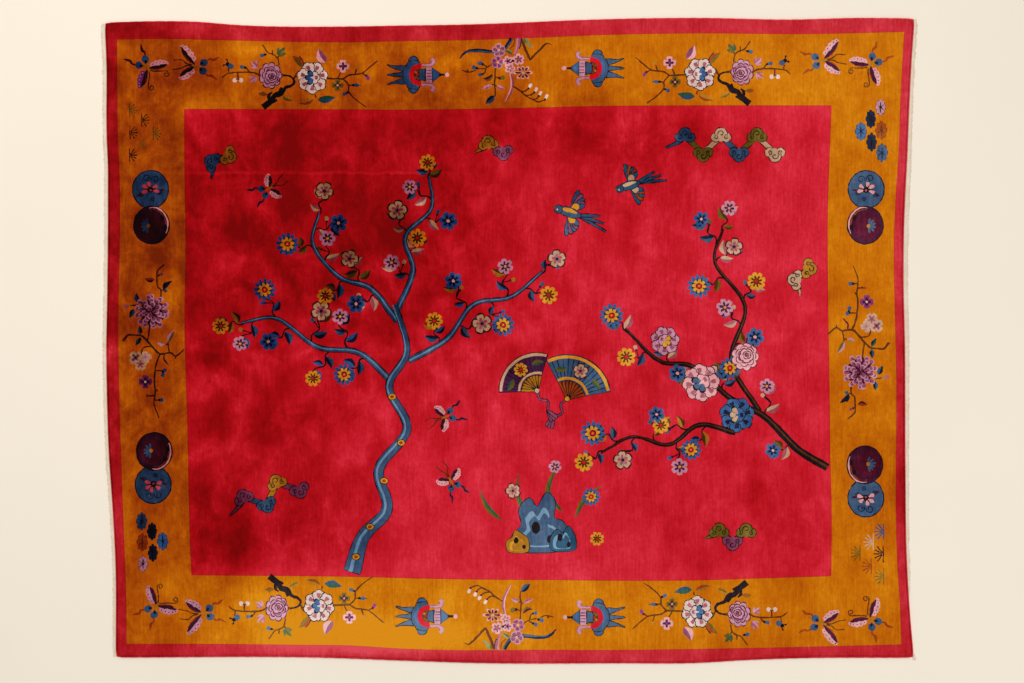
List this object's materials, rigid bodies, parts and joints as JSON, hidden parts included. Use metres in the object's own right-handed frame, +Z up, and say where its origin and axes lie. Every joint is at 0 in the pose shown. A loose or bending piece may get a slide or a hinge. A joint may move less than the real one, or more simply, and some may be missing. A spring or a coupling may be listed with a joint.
{
  "type": "chinese art deco rug",
  "caption": "Flat rectangular hand-knotted pile rug, red field and gold border inside a red edge, with a cream cotton web at each end; it lies on a floor.",
  "frame": {"origin": "on the floor, under the middle of the rug's outline", "axes": "+X along the warp and the longer side, from web to web; +Y across the rug; +Z up from the floor"},
  "size_m": [3.5365, 2.7932, 0.0134],
  "materials": {
    "wool_pile": "cut wool pile with a soft sheen",
    "cotton_web": "plain woven undyed cotton"
  },
  "bodies": {
    "root": {"pile_body": "wool_pile", "end_web_left": "cotton_web", "end_web_right": "cotton_web"}
  },
  "joints": []
}
